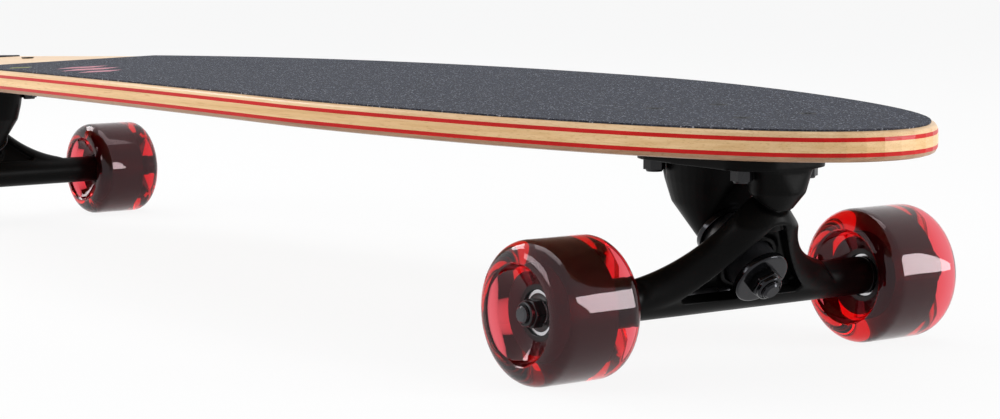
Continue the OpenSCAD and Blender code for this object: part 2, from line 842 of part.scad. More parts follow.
at_wheel(rear, left) tyre();  // rear_left_tyre
at_wheel(rear, left) core();  // rear_left_core
at_wheel(rear, left) outer_rings();  // rear_left_outer_rings
at_wheel(rear, left) seals();  // rear_left_seals
at_wheel(rear, left) bearing_balls();  // rear_left_balls
at_wheel(rear, left) cages();  // rear_left_cages
at_wheel(rear, right) tyre();  // rear_right_tyre
at_wheel(rear, right) core();  // rear_right_core
at_wheel(rear, right) outer_rings();  // rear_right_outer_rings
at_wheel(rear, right) seals();  // rear_right_seals
at_wheel(rear, right) bearing_balls();  // rear_right_balls
at_wheel(rear, right) cages();  // rear_right_cages
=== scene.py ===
"""Longboard skateboard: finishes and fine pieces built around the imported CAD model.

Lengths are in metres unless a name ends in _mm. +X points to the nose, +Y to the left, +Z up.
"""

import json
import logging
import math
from dataclasses import dataclass
from enum import Enum

import bmesh
import bpy
from mathutils import Matrix, Vector


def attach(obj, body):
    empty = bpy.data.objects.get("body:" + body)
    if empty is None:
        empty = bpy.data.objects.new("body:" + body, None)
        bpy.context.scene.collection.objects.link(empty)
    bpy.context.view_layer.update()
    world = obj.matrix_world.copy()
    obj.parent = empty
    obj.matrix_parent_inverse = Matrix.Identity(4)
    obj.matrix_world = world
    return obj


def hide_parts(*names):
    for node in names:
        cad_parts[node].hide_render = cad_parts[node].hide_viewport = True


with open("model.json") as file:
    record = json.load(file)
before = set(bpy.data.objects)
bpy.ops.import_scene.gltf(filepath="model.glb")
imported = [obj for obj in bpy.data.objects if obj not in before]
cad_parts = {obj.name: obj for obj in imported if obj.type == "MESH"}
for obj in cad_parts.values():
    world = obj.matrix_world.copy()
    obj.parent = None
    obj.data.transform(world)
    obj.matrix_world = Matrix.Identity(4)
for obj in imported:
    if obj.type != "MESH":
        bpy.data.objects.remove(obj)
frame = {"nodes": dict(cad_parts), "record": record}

Pair = tuple[float, float]
Triple = tuple[float, float, float]
Socket = bpy.types.NodeSocket

LOG = logging.getLogger("longboard")
MM = 0.001
WHEELBASE = 0.825
FRONT_AXLE_X = 0.4175
AXLE_HEIGHT = 0.034
# The slope of the deck over each truck.
CAMBER = math.radians(1.2)
ROOT = "deck_and_baseplates"
WHITE: Triple = (1.0, 1.0, 1.0)
# The noise values between which a finish runs from its low look to its high one.
BAND: Pair = (0.3, 0.7)


class Labelled(Enum):
    """A choice that the CAD nodes name in lower case."""

    @property
    def label(self) -> str:
        """The choice's name as the CAD nodes spell it."""
        return self.name.lower()


class End(Labelled):
    """The two ends of the board, with the sign of their outboard direction."""

    FRONT = 1
    REAR = -1

    @property
    def axle_x(self) -> float:
        """Where this end's axle lies along the board."""
        return FRONT_AXLE_X if self is End.FRONT else FRONT_AXLE_X - WHEELBASE


class Side(Labelled):
    """The two sides of the board, with the sign of Y."""

    LEFT = 1
    RIGHT = -1


def truck_matrix(end: End) -> Matrix:
    """Places a truck's own frame in the board's.

    Args:
        end: the truck's end of the board.

    Returns:
        The matrix from the truck's frame, with its origin on the axle, to the board's.
    """
    place = Matrix.Translation((end.axle_x, 0.0, AXLE_HEIGHT))
    flip = Matrix.Diagonal((end.value, 1.0, 1.0, 1.0))
    return place @ flip @ Matrix.Rotation(CAMBER, 4, "Y")


class Shader:
    """A thin helper that lays out the nodes of one material."""

    def __init__(self, name: str) -> None:
        """Starts a material with a Principled shader.

        Args:
            name: the material's name.
        """
        self.material = bpy.data.materials.new(name)
        self.material.use_nodes = True
        self.tree = self.material.node_tree
        self.tree.nodes.clear()
        self.bsdf = self.node("BsdfPrincipled")
        self.output = self.node("OutputMaterial")
        self.link(self.bsdf.outputs["BSDF"], self.output.inputs["Surface"])

    def set(self, **values: float | tuple[float, ...]) -> None:
        """Sets sockets of the Principled shader; an underscore stands for a space."""
        for key, value in values.items():
            self.bsdf.inputs[key.replace("_", " ")].default_value = value

    def node(self, kind: str, **settings: object) -> bpy.types.Node:
        """Adds a node.

        Args:
            kind: the node's type name without its ShaderNode prefix.
            settings: properties by name, or sockets as in_NAME.

        Returns:
            The new node.
        """
        made = self.tree.nodes.new("ShaderNode" + kind)
        for key, value in settings.items():
            if key.startswith("in_"):
                made.inputs[key[3:].replace("_", " ")].default_value = value
            else:
                setattr(made, key, value)
        return made

    def link(self, source: Socket, target: Socket) -> None:
        """Joins two sockets."""
        self.tree.links.new(source, target)

    def feed(self, target: Socket, value: Socket | float | Triple) -> None:
        """Joins a socket to another one, or sets it.

        Args:
            target: the socket that receives.
            value: a socket, a number or a linear colour.
        """
        if isinstance(value, Socket):
            self.link(value, target)
        elif isinstance(value, tuple):
            target.default_value = (*value, 1.0)
        else:
            target.default_value = value

    def paint(self, colour: Socket, roughness: Socket) -> None:
        """Feeds a colour and a roughness to the Principled shader."""
        self.link(colour, self.bsdf.inputs["Base Color"])
        self.link(roughness, self.bsdf.inputs["Roughness"])

    def place(self, **settings: object) -> Socket:
        """Object coordinates through a Mapping node.

        Args:
            settings: the Mapping node's settings, as node() takes them.

        Returns:
            The mapped coordinate's socket.
        """
        coordinates = self.node("TexCoord")
        mapping = self.node("Mapping", **settings)
        self.link(coordinates.outputs["Object"], mapping.inputs["Vector"])
        return mapping.outputs["Vector"]

    def noise(self, vector: Socket, scale: float, detail: float = 3.0,
              roughness: float = 0.5) -> Socket:
        """A noise value between 0 and 1.

        Args:
            vector: the coordinate that it is read at.
            scale: how many pattern units one unit of the coordinate holds.
            detail: how many finer layers it has.
            roughness: how strongly the finer layers show.

        Returns:
            The value's socket.
        """
        made = self.node("TexNoise", in_Scale=scale, in_Detail=detail, in_Roughness=roughness)
        self.link(vector, made.inputs["Vector"])
        return made.outputs["Fac"]

    def ramp(self, value: Socket, stops: tuple[float, ...], *colours: Triple) -> Socket:
        """A colour ramp.

        Args:
            value: what drives the ramp.
            stops: where each colour lies, from low to high.
            colours: the linear colours.

        Returns:
            The ramp's colour socket.
        """
        made = self.node("ValToRGB")
        elements = made.color_ramp.elements
        while len(elements) < len(stops):
            elements.new(0.5)
        for element, position, colour in zip(elements, stops, colours):
            element.position = position
            element.color = (*colour, 1.0)
        self.link(value, made.inputs["Fac"])
        return made.outputs["Color"]

    def spread(self, value: Socket, low: float, high: float, band: Pair = BAND) -> Socket:
        """Maps a value to low..high, held at its ends.

        Args:
            value: what is mapped.
            low: the result at the band's start and below.
            high: the result at the band's end and above.
            band: the values between which the result changes.

        Returns:
            The result's socket.
        """
        made = self.node("MapRange", in_From_Min=band[0], in_From_Max=band[1],
                         in_To_Min=low, in_To_Max=high)
        self.link(value, made.inputs["Value"])
        return made.outputs["Result"]

    def combine(self, operation: str, first: Socket, second: Socket | float = 0.0) -> Socket:
        """Does one operation of the Math node.

        Args:
            operation: the operation's name in Blender.
            first: its first operand.
            second: its second operand, where it has one.

        Returns:
            The result's socket.
        """
        made = self.node("Math", operation=operation)
        for target, value in zip(made.inputs, (first, second)):
            self.feed(target, value)
        return made.outputs["Value"]

    def mix(self, factor: Socket | float, first: Socket | Triple, second: Socket | Triple,
            blend: str = "MIX") -> Socket:
        """Mixes two colours.

        Args:
            factor: how much of the second colour there is.
            first: the first colour.
            second: the second colour.
            blend: the blend's name in Blender.

        Returns:
            The mixed colour's socket.
        """
        made = self.node("Mix", data_type="RGBA", blend_type=blend)
        self.feed(made.inputs["Factor"], factor)
        for name, value in (("A", first), ("B", second)):
            self.feed(next(s for s in made.inputs if s.name == name and s.type == "RGBA"), value)
        return next(s for s in made.outputs if s.type == "RGBA")

    def cell_value(self, cells: bpy.types.Node) -> Socket:
        """A random value for each cell.

        Args:
            cells: a Voronoi node.

        Returns:
            The value's socket.
        """
        split = self.node("SeparateColor")
        self.link(cells.outputs["Color"], split.inputs["Color"])
        return split.outputs["Red"]

    def bump(self, height: Socket, strength: float, distance: float) -> None:
        """Feeds a height to the shader's normal.

        Args:
            height: the height, between 0 and 1.
            strength: how strongly it shows.
            distance: how high 1 is.
        """
        made = self.node("Bump", in_Strength=strength, in_Distance=distance)
        self.link(height, made.inputs["Height"])
        self.link(made.outputs["Normal"], self.bsdf.inputs["Normal"])


@dataclass(frozen=True)
class MouldedFinish:
    """Rubber, urethane, nylon or thick paint: a clouded colour with a faint mould texture."""

    name: str
    colour: Triple
    roughness: float
    specular: float = 0.5
    metallic: float = 0.0
    colour_shares: Pair = (0.75, 1.0)
    roughness_shares: Pair = (1.0, 1.0)
    roughness_change: Pair = (-0.05, 0.07)
    cloud_scale: float = 80.0
    cloud_detail: float = 3.0
    cloud_band: Pair = (0.35, 0.65)
    texture: float = 0.15
    texture_scale: float = 1100.0
    texture_height: float = 0.0002

    def build(self) -> bpy.types.Material:
        """Makes the material.

        Returns:
            The opaque finish.
        """
        s = Shader(self.name)
        place = s.place()
        cloud = s.noise(place, self.cloud_scale, self.cloud_detail)
        dark, pale = (tuple(c * share for c in self.colour) for share in self.colour_shares)
        smooth, rough = (self.roughness * share + change for share, change
                         in zip(self.roughness_shares, self.roughness_change))
        s.paint(s.ramp(cloud, self.cloud_band, dark, pale),
                s.spread(cloud, smooth, rough, self.cloud_band))
        s.bump(s.noise(place, self.texture_scale, 2.0), self.texture, self.texture_height)
        s.set(Metallic=self.metallic, Specular_IOR_Level=self.specular)
        return s.material


@dataclass(frozen=True)
class SteelFinish(MouldedFinish):
    """Plated or bare steel: faint smudges and fine turning marks."""

    metallic: float = 1.0
    colour_shares: Pair = (0.8, 1.0)
    roughness_shares: Pair = (0.8, 1.3)
    roughness_change: Pair = (0.0, 0.0)
    cloud_scale: float = 120.0
    cloud_band: Pair = BAND
    texture: float = 0.12
    texture_scale: float = 1400.0
    texture_height: float = 0.0001


@dataclass(frozen=True)
class CastingFinish(MouldedFinish):
    """Satin black powder coat on cast aluminium: a fine orange peel."""

    name: str = "satin_black_casting"
    colour: Triple = (0.0024, 0.0024, 0.0024)
    roughness: float = 0.36
    specular: float = 0.055
    colour_shares: Pair = (0.8, 1.35)
    roughness_change: Pair = (-0.06, 0.08)
    cloud_scale: float = 45.0
    cloud_detail: float = 4.0
    cloud_band: Pair = BAND
    texture: float = 0.10
    texture_scale: float = 900.0
    texture_height: float = 0.0003


@dataclass(frozen=True)
class UrethaneFinish:
    """Clear red cast urethane, glossy and tinted through."""

    name: str = "clear_red_urethane"
    colour: Triple = (0.96, 0.66, 0.72)
    deep_share: float = 0.96
    swirl_scale: float = 35.0
    swirl_band: Pair = (0.35, 0.65)
    depth_colour: Triple = (0.955, 0.10, 0.17)
    density: float = 130.0
    roughness: float = 0.018
    roughness_shares: Pair = (0.6, 1.5)
    polish_scale: float = 160.0
    refraction: float = 1.49
    specular: float = 0.45
    glint: Triple = (0.80, 0.64, 0.68)

    def build(self) -> bpy.types.Material:
        """Makes the material.

        Returns:
            The urethane, with its tint in the volume.
        """
        s = Shader(self.name)
        place = s.place()
        deep = tuple(c * self.deep_share for c in self.colour)
        smooth, rough = (self.roughness * share for share in self.roughness_shares)
        swirl = s.noise(place, self.swirl_scale, 4.0)
        s.paint(s.ramp(swirl, self.swirl_band, deep, self.colour),
                s.spread(s.noise(place, self.polish_scale), smooth, rough))
        s.set(IOR=self.refraction, Transmission_Weight=1.0, Specular_IOR_Level=self.specular,
              Specular_Tint=(*self.glint, 1.0))
        depth = s.node("VolumeAbsorption", in_Color=(*self.depth_colour, 1.0),
                       in_Density=self.density)
        s.link(depth.outputs["Volume"], s.output.inputs["Volume"])
        return s.material


@dataclass(frozen=True)
class WoodFinish:
    """Lacquered veneer with long grain along the board and thin pores."""

    name: str
    pale: Triple
    dark: Triple
    streaks: float = 1.0
    grain_scale: Triple = (6.0, 90.0, 420.0)
    grain_stops: Triple = (0.30, 0.5, 0.68)
    pore_scale: Triple = (60.0, 900.0, 2600.0)
    pore_band: Pair = (0.34, 0.45)
    cloud_scale: Triple = (2.0, 14.0, 30.0)
    cloud_tint: Triple = (0.86, 0.82, 0.78)
    pore_tint: Triple = (0.84, 0.77, 0.70)
    roughness: float = 0.32
    roughness_change: Pair = (-0.05, 0.1)
    specular: float = 0.10
    coat: float = 0.12
    coat_roughness: float = 0.12
    coat_refraction: float = 1.45
    pore_bump: float = 0.12
    pore_depth: float = 0.0002

    def build(self) -> bpy.types.Material:
        """Makes the material.

        Returns:
            The veneer.
        """
        s = Shader(self.name)
        long_grain = s.noise(s.place(in_Scale=self.grain_scale), 1.0, 6.0, 0.6)
        pores = s.noise(s.place(in_Scale=self.pore_scale), 1.0, 3.0, 0.6)
        cloud = s.noise(s.place(in_Scale=self.cloud_scale), 1.0)
        middle = tuple((a + b) / 2 for a, b in zip(self.pale, self.dark))
        grain = s.ramp(long_grain, self.grain_stops, self.dark, middle, self.pale)
        tint = s.ramp(cloud, BAND, self.cloud_tint, WHITE)
        pore = s.ramp(pores, self.pore_band, self.pore_tint, WHITE)
        shaded = s.mix(self.streaks, grain, tint, "MULTIPLY")
        smooth, rough = (self.roughness + change for change in self.roughness_change)
        s.paint(s.mix(self.streaks, shaded, pore, "MULTIPLY"),
                s.spread(long_grain, smooth, rough))
        s.bump(pores, self.pore_bump, self.pore_depth)
        s.set(Specular_IOR_Level=self.specular, Coat_Weight=self.coat,
              Coat_Roughness=self.coat_roughness, Coat_IOR=self.coat_refraction)
        return s.material


@dataclass(frozen=True)
class Lozenge:
    """A plain four-cornered print, seen from above."""

    x: float
    y: float
    length: float
    width: float
    colour: Triple
    slant_deg: float = 25.0
    edge_band: Pair = (0.94, 1.0)

    def mask(self, s: Shader) -> Socket:
        """Adds the lozenge's nodes.

        Args:
            s: the shader that it is printed on.

        Returns:
            The socket of its mask: one inside it, zero outside.
        """
        place = s.place(vector_type="TEXTURE", in_Location=(self.x, self.y, 0.0),
                        in_Rotation=(0.0, 0.0, math.radians(self.slant_deg)),
                        in_Scale=(self.length / 2, self.width / 2, 1.0))
        parts = s.node("SeparateXYZ")
        s.link(place, parts.inputs["Vector"])
        reach = s.combine("ADD", s.combine("ABSOLUTE", parts.outputs["X"]),
                          s.combine("ABSOLUTE", parts.outputs["Y"]))
        return s.spread(reach, 1.0, 0.0, self.edge_band)


@dataclass(frozen=True)
class GripFinish:
    """Coarse dark grit with a painted cool glint on random grains, and a few plain lozenges near
    its cut edge.
    """

    name: str = "grip_grit"
    low: Triple = (0.008, 0.009, 0.013)
    middle: Triple = (0.034, 0.037, 0.050)
    high: Triple = (0.120, 0.130, 0.176)
    clump_stops: Triple = (0.32, 0.5, 0.72)
    worn: Triple = (0.055, 0.058, 0.074)
    worn_share: float = 0.25
    worn_band: Pair = (0.35, 0.75)
    # Painted glint: the pale cool colour that random grit cells take, and the cell values over
    # which it shows.
    sparkle: Triple = (0.44, 0.47, 0.54)
    sparkle_band: Pair = (0.94, 0.99)
    grit_scale: float = 1500.0
    clump_scale: float = 650.0
    patch_scale: float = 25.0
    ink_shares: Pair = (0.35, 0.95)
    ink_band: Pair = (0.3, 0.6)
    roughness_range: Pair = (0.55, 0.9)
    specular: float = 0.12
    grit_share: float = 0.8
    grit_bump: float = 0.8
    grit_height: float = 0.0012
    motif: tuple[Lozenge, ...] = (
        Lozenge(-0.104, -0.070, 0.020, 0.062, (0.86, 0.40, 0.46)),
        Lozenge(-0.134, -0.060, 0.018, 0.056, (0.86, 0.40, 0.46)),
        Lozenge(-0.072, -0.080, 0.016, 0.046, (0.86, 0.40, 0.46)),
        Lozenge(-0.166, -0.088, 0.014, 0.024, (0.40, 0.43, 0.14)),
    )

    def build(self) -> bpy.types.Material:
        """Makes the material.

        Returns:
            The grip tape's grit with its print.
        """
        s = Shader(self.name)
        place = s.place()
        cells = s.node("TexVoronoi", in_Scale=self.grit_scale)
        s.link(place, cells.inputs["Vector"])
        clumps = s.noise(place, self.clump_scale, 4.0, 0.65)
        patch = s.noise(place, self.patch_scale)
        colour = s.ramp(clumps, self.clump_stops, self.low, self.middle, self.high)
        worn = s.spread(patch, 0.0, self.worn_share, self.worn_band)
        colour = s.mix(worn, colour, self.worn)
        # Painted glint: random grit cells are mixed to a pale cool colour that stands in for
        # light caught by the grains.
        glint = s.spread(s.cell_value(cells), 0.0, 1.0, self.sparkle_band)
        colour = s.mix(glint, colour, self.sparkle)
        for lozenge in self.motif:
            ink = s.spread(clumps, *self.ink_shares, self.ink_band)
            colour = s.mix(s.combine("MULTIPLY", lozenge.mask(s), ink), colour, lozenge.colour)
        s.paint(colour, s.spread(clumps, *self.roughness_range))
        grit = s.combine("MULTIPLY", cells.outputs["Distance"], self.grit_share)
        s.bump(s.combine("ADD", clumps, grit), self.grit_bump, self.grit_height)
        s.set(Specular_IOR_Level=self.specular)
        return s.material


class Finishes:
    """Every material of the board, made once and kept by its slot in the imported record."""

    def __init__(self) -> None:
        """Builds the materials."""
        kinds = {
            "black_casting": CastingFinish(),
            "black_steel": SteelFinish(
                "black_plated_steel", (0.022, 0.022, 0.025), 0.13, metallic=0.85),
            "black_hardware": SteelFinish(
                "black_oxide_steel", (0.028, 0.028, 0.03), 0.32, metallic=0.7),
            "painted_head": MouldedFinish(
                "painted_bolt_head", (0.012, 0.012, 0.014), 0.6, specular=0.1),
            "bright_steel": SteelFinish("ground_bearing_steel", (0.62, 0.62, 0.64), 0.2),
            "dark_steel": SteelFinish(
                "drawn_axle_steel", (0.07, 0.07, 0.075), 0.3, metallic=0.9),
            "wheel_urethane": UrethaneFinish(),
            "black_urethane": MouldedFinish(
                "black_bushing_urethane", (0.016, 0.016, 0.018), 0.38),
            "riser_rubber": MouldedFinish("riser_rubber", (0.022, 0.022, 0.025), 0.5),
            "black_nylon": MouldedFinish(
                "black_core_nylon", (0.006, 0.006, 0.007), 0.42, specular=0.3),
            "black_seal": MouldedFinish("seal_rubber", (0.012, 0.012, 0.013), 0.36),
            "cage_nylon": MouldedFinish("cage_nylon", (0.42, 0.35, 0.22), 0.5),
            "maple_face": WoodFinish("maple_face", (0.89, 0.64, 0.38), (0.74, 0.47, 0.25)),
            "maple_core": WoodFinish("maple_core", (0.90, 0.63, 0.35), (0.76, 0.48, 0.22)),
            # The underside maple is darker and browner than the maple above it: partly its own
            # stain, partly painted shade of the downward-facing underside.
            "maple_underside": WoodFinish(
                "maple_underside", (0.50, 0.31, 0.19), (0.36, 0.205, 0.12)),
            "red_veneer": WoodFinish(
                "red_veneer", (0.62, 0.010, 0.008), (0.47, 0.006, 0.005), streaks=0.6),
            "grip": GripFinish(),
        }
        self.by_slot = {slot: finish.build() for slot, finish in kinds.items()}

    def __getitem__(self, slot: str) -> bpy.types.Material:
        """The material of a slot."""
        return self.by_slot[slot]

    def dress_nodes(self) -> None:
        """Gives each CAD node the material of its slot, and the deck bolts painted heads."""
        for row in frame["record"]["subparts"]:
            mesh = frame["nodes"][row["node"]].data
            painted = row["node"] == "deck_bolts"
            mesh.materials.clear()
            mesh.materials.append(self["painted_head" if painted else row["material_slot"]])


def shade(data: bpy.types.Mesh, sharp: float) -> None:
    """Smooth shading with edges sharper than an angle, in radians, kept crisp."""
    data.shade_smooth()
    data.set_sharp_from_angle(angle=sharp)


def arc(centre: Pair, radius: float, start: float, stop: float, steps: int) -> list[Pair]:
    """Lays points on an arc.

    Args:
        centre: the arc's centre.
        radius: its radius.
        start: the angle of its first point, in degrees.
        stop: the angle of its last point, in degrees.
        steps: how many steps lie between the two.

    Returns:
        The points, in the centre's unit.
    """
    made = []
    for k in range(steps + 1):
        turn = math.radians(start + (stop - start) * k / steps)
        made.append((centre[0] + radius * math.cos(turn), centre[1] + radius * math.sin(turn)))
    return made


def placed(data: bpy.types.Mesh, matrix: Matrix) -> bpy.types.Mesh:
    """Moves a mesh to its place and keeps its faces outwards.

    Args:
        data: the mesh, in its own frame.
        matrix: its place, which may mirror.

    Returns:
        The same mesh.
    """
    data.transform(matrix)
    if matrix.determinant() < 0:
        data.flip_normals()
    return data


def joined(name: str, parts: list[bpy.types.Mesh]) -> bpy.types.Mesh:
    """Joins meshes into one.

    Args:
        name: the new mesh's name.
        parts: the meshes, which are removed.

    Returns:
        The joined mesh.
    """
    whole = bmesh.new()
    for part in parts:
        whole.from_mesh(part)
        bpy.data.meshes.remove(part)
    data = bpy.data.meshes.new(name)
    whole.to_mesh(data)
    whole.free()
    return data


def added(name: str, data: bpy.types.ID) -> bpy.types.Object:
    """Adds an object to the scene.

    Args:
        name: the object's name.
        data: its mesh, lamp or camera.

    Returns:
        The new object.
    """
    made = bpy.data.objects.new(name, data)
    bpy.context.scene.collection.objects.link(made)
    return made


def evaluated(carrier: bpy.types.Object, name: str) -> bpy.types.Mesh:
    """Turns an object and its modifiers into a plain mesh.

    Args:
        carrier: the object, which is removed with its own mesh.
        name: the new mesh's name.

    Returns:
        The plain mesh.
    """
    bpy.context.view_layer.update()
    graph = bpy.context.evaluated_depsgraph_get()
    result = bpy.data.meshes.new_from_object(carrier.evaluated_get(graph))
    source = carrier.data
    bpy.data.objects.remove(carrier)
    bpy.data.meshes.remove(source)
    result.name = name
    return result


def piece(data: bpy.types.Mesh, material: bpy.types.Material, body: str,
          *nodes: str) -> None:
    """Adds a finished piece to the scene, under its mesh's name.

    Args:
        data: its mesh, in the board's frame.
        material: its finish.
        body: the rigid body that it rides on.
        nodes: the CAD nodes that it stands for.
    """
    made = added(data.name, data)
    data.materials.clear()
    data.materials.append(material)
    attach(made, body)
    if nodes:
        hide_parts(*nodes)
    LOG.info("piece %s on %s: %d faces", made.name, body, len(data.polygons))


@dataclass
class Lathe:
    """A closed profile of (radius, y) points turned about the Y axis."""

    points_mm: list[Pair]
    segments: int = 96
    sharp: float = 0.55

    def mesh(self, name: str) -> bpy.types.Mesh:
        """Turns the profile.

        Args:
            name: the new mesh's name.

        Returns:
            A mesh about the Y axis, in metres.
        """
        made = bmesh.new()
        profile = [(r * MM, y * MM) for r, y in self.points_mm]
        rows = []
        for step in range(self.segments):
            turn = 2 * math.pi * step / self.segments
            rows.append([made.verts.new((r * math.cos(turn), y, r * math.sin(turn)))
                         for r, y in profile])
        for here, there in zip(rows, rows[1:] + rows[:1]):
            for k in range(len(profile)):
                n = (k + 1) % len(profile)
                made.faces.new((here[k], here[n], there[n], there[k]))
        bmesh.ops.recalc_face_normals(made, faces=made.faces)
        data = bpy.data.meshes.new(name)
        made.to_mesh(data)
        made.free()
        shade(data, self.sharp)
        return data


@dataclass(frozen=True)
class Bearing:
    """The visible parts of one ball bearing: its outer ring and its stepped seals."""

    race_mm: float = 9.05
    groove_mm: float = 9.3
    groove_half_mm: float = 1.2
    outer_mm: float = 11.0
    half_width_mm: float = 3.5
    edge_mm: float = 0.4
    seal_mm: tuple[Pair, ...] = ((6.1, 2.80), (9.0, 2.80), (9.0, 3.22), (8.6, 3.25),
                                 (8.3, 3.05), (7.0, 3.05), (6.7, 3.2), (6.1, 3.2))

    def ring(self, place: Matrix) -> bpy.types.Mesh:
        """Makes the outer ring with its ball groove and rounded corners.

        Args:
            place: the bearing's place in the board's frame.

        Returns:
            The ring's mesh.
        """
        race, groove, groove_half = self.race_mm, self.groove_mm, self.groove_half_mm
        outer, wide, edge = self.outer_mm, self.half_width_mm, self.edge_mm
        section = [(race, -wide), (race, -groove_half), (groove, -groove_half),
                   (groove, groove_half), (race, groove_half), (race, wide),
                   (outer - edge, wide), (outer, wide - edge),
                   (outer, edge - wide), (outer - edge, -wide)]
        return placed(Lathe(section).mesh("ring"), place)

    def seals(self, place: Matrix) -> list[bpy.types.Mesh]:
        """Makes the two seals at the bearing's place in the board's frame."""
        return [placed(Lathe(list(self.seal_mm)).mesh("seal"),
                       place @ Matrix.Diagonal((1.0, face, 1.0, 1.0))) for face in (-1, 1)]


@dataclass
class Wheel:
    """One wheel: a clear urethane tyre on a black core, with two ball bearings."""

    end: End
    side: Side
    finishes: Finishes
    centre_y_mm: float = 103.0
    radius_mm: float = 34.0
    half_width_mm: float = 24.85
    shoulder_mm: float = 9.3
    opening_mm: float = 23.1
    # The opening's lip: points out from the opening's radius and in from the face.
    lip_mm: tuple[Pair, ...] = ((1.1, 0.0), (0.45, 0.55), (0.0, 1.45))
    # The cone behind the lip starts this far inside the opening and in from the face.
    cone_start_mm: Pair = (1.2, 3.7)
    cone_steps: int = 8
    core_mm: float = 22.5
    core_half_mm: float = 12.5
    collar_mm: float = 13.3
    collar_proud_mm: float = 0.8
    bond_mm: float = 0.12
    bearing_offset_mm: float = 8.5
    bearing: Bearing = Bearing()

    def tyre_section(self) -> list[Pair]:
        """Lays out the tyre's section, which reaches a hair into the core.

        Returns:
            A closed loop of (radius, y) in millimetres.
        """
        face = self.half_width_mm
        half = arc((self.radius_mm - self.shoulder_mm, face - self.shoulder_mm),
                   self.shoulder_mm, 0.0, 90.0, 16)
        half += [(self.opening_mm + out, face - down) for out, down in self.lip_mm]
        start = (self.opening_mm - self.cone_start_mm[0], face - self.cone_start_mm[1])
        foot = (self.collar_mm, self.core_half_mm + self.collar_proud_mm)
        for k in range(self.cone_steps + 1):
            share = k / self.cone_steps
            half.append(tuple(a + (b - a) * share for a, b in zip(start, foot)))
        bonded, hidden = foot[0] - self.bond_mm, self.core_half_mm - self.bond_mm
        half += [(bonded, foot[1] - self.bond_mm), (bonded, hidden),
                 (self.core_mm - self.bond_mm, hidden)]
        return half + [(r, -y) for r, y in reversed(half)]

    def build(self) -> None:
        """Makes the wheel's fine pieces."""
        name = f"{self.end.label}_{self.side.label}"
        body = f"{name}_wheel"
        centre = (0.0, self.side.value * self.centre_y_mm * MM, 0.0)
        place = truck_matrix(self.end) @ Matrix.Translation(centre)
        tyre = placed(Lathe(self.tyre_section(), 160).mesh(f"{name}_tyre_fine"), place)
        piece(tyre, self.finishes["wheel_urethane"], body, f"{name}_tyre")
        rings, seals = [], []
        for sign in (-1, 1):
            middle = Matrix.Translation((0.0, sign * self.bearing_offset_mm * MM, 0.0))
            rings.append(self.bearing.ring(place @ middle))
            seals += self.bearing.seals(place @ middle)
        piece(joined(f"{name}_outer_rings_fine", rings), self.finishes["bright_steel"], body,
              f"{name}_outer_rings")
        piece(joined(f"{name}_seals_fine", seals), self.finishes["black_seal"], body,
              f"{name}_seals")


@dataclass
class Casting:
    """A cast piece: the CAD solid with its edges softened as a mould leaves them."""

    node: str
    body: str
    finishes: Finishes
    weld: float = 1e-6
    voxel_mm: float = 0.8
    smoothing: float = 0.5
    smoothing_rounds: int = 3

    def build(self) -> None:
        """Makes the softened casting and stands it for its CAD node."""
        name = f"{self.node}_cast"
        data = frame["nodes"][self.node].data.copy()
        welded = bmesh.new()
        welded.from_mesh(data)
        bmesh.ops.remove_doubles(welded, verts=welded.verts, dist=self.weld)
        welded.to_mesh(data)
        welded.free()
        made = added(name, data)
        remesh = made.modifiers.new("voxels", "REMESH")
        remesh.mode = "VOXEL"
        remesh.voxel_size = self.voxel_mm * MM
        remesh.use_smooth_shade = True
        soften = made.modifiers.new("soften", "SMOOTH")
        soften.factor = self.smoothing
        soften.iterations = self.smoothing_rounds
        result = evaluated(made, name)
        result.shade_smooth()
        piece(result, self.finishes["black_casting"], self.body, self.node)


@dataclass
class SteerFrame:
    """The plane of one truck's kingpin and steering axis, as the CAD lays it out."""

    end: End
    angle_deg: float = 54.0
    seat_reach_mm: float = 21.3

    def matrix(self, height_mm: float, turned: bool = False) -> Matrix:
        """Places a piece turned about Y on the kingpin.

        Args:
            height_mm: height of the piece's own zero along the kingpin, towards the nut.
            turned: whether the piece faces the board instead of the nut.

        Returns:
            The matrix from the piece's frame to the board's.
        """
        angle = math.radians(self.angle_deg)
        up = Vector((math.cos(angle), 0.0, math.sin(angle)))
        out = Vector((math.sin(angle), 0.0, -math.cos(angle)))
        basis = Matrix((Vector((0.0, 1.0, 0.0)), up, out)).transposed().to_4x4()
        local = Matrix.Translation((0.0, self.seat_reach_mm * MM, height_mm * MM))
        place = truck_matrix(self.end) @ basis @ local @ Matrix.Rotation(math.pi / 2, 4, "X")
        return place @ Matrix.Rotation(math.pi, 4, "X") if turned else place


@dataclass(frozen=True)
class Bushing:
    """A urethane bushing on the kingpin, a little narrower at its far end."""

    label: str
    seat_mm: float
    height_mm: float
    turned: bool
    radius_mm: float = 12.75
    bore_mm: float = 5.0
    taper_mm: float = 0.5
    edge_mm: float = 1.1

    def section(self) -> list[Pair]:
        """Lays out the bushing's section, seated on Y = 0.

        Returns:
            A closed loop of (radius, y) in millimetres.
        """
        seat_r, edge = self.radius_mm - self.edge_mm, self.edge_mm
        wall = arc((seat_r, edge), edge, -90.0, 0.0, 5)
        wall += arc((seat_r - self.taper_mm, self.height_mm - edge), edge, 0.0, 90.0, 5)
        return [(self.bore_mm, 0.0)] + wall + [(self.bore_mm, self.height_mm)]


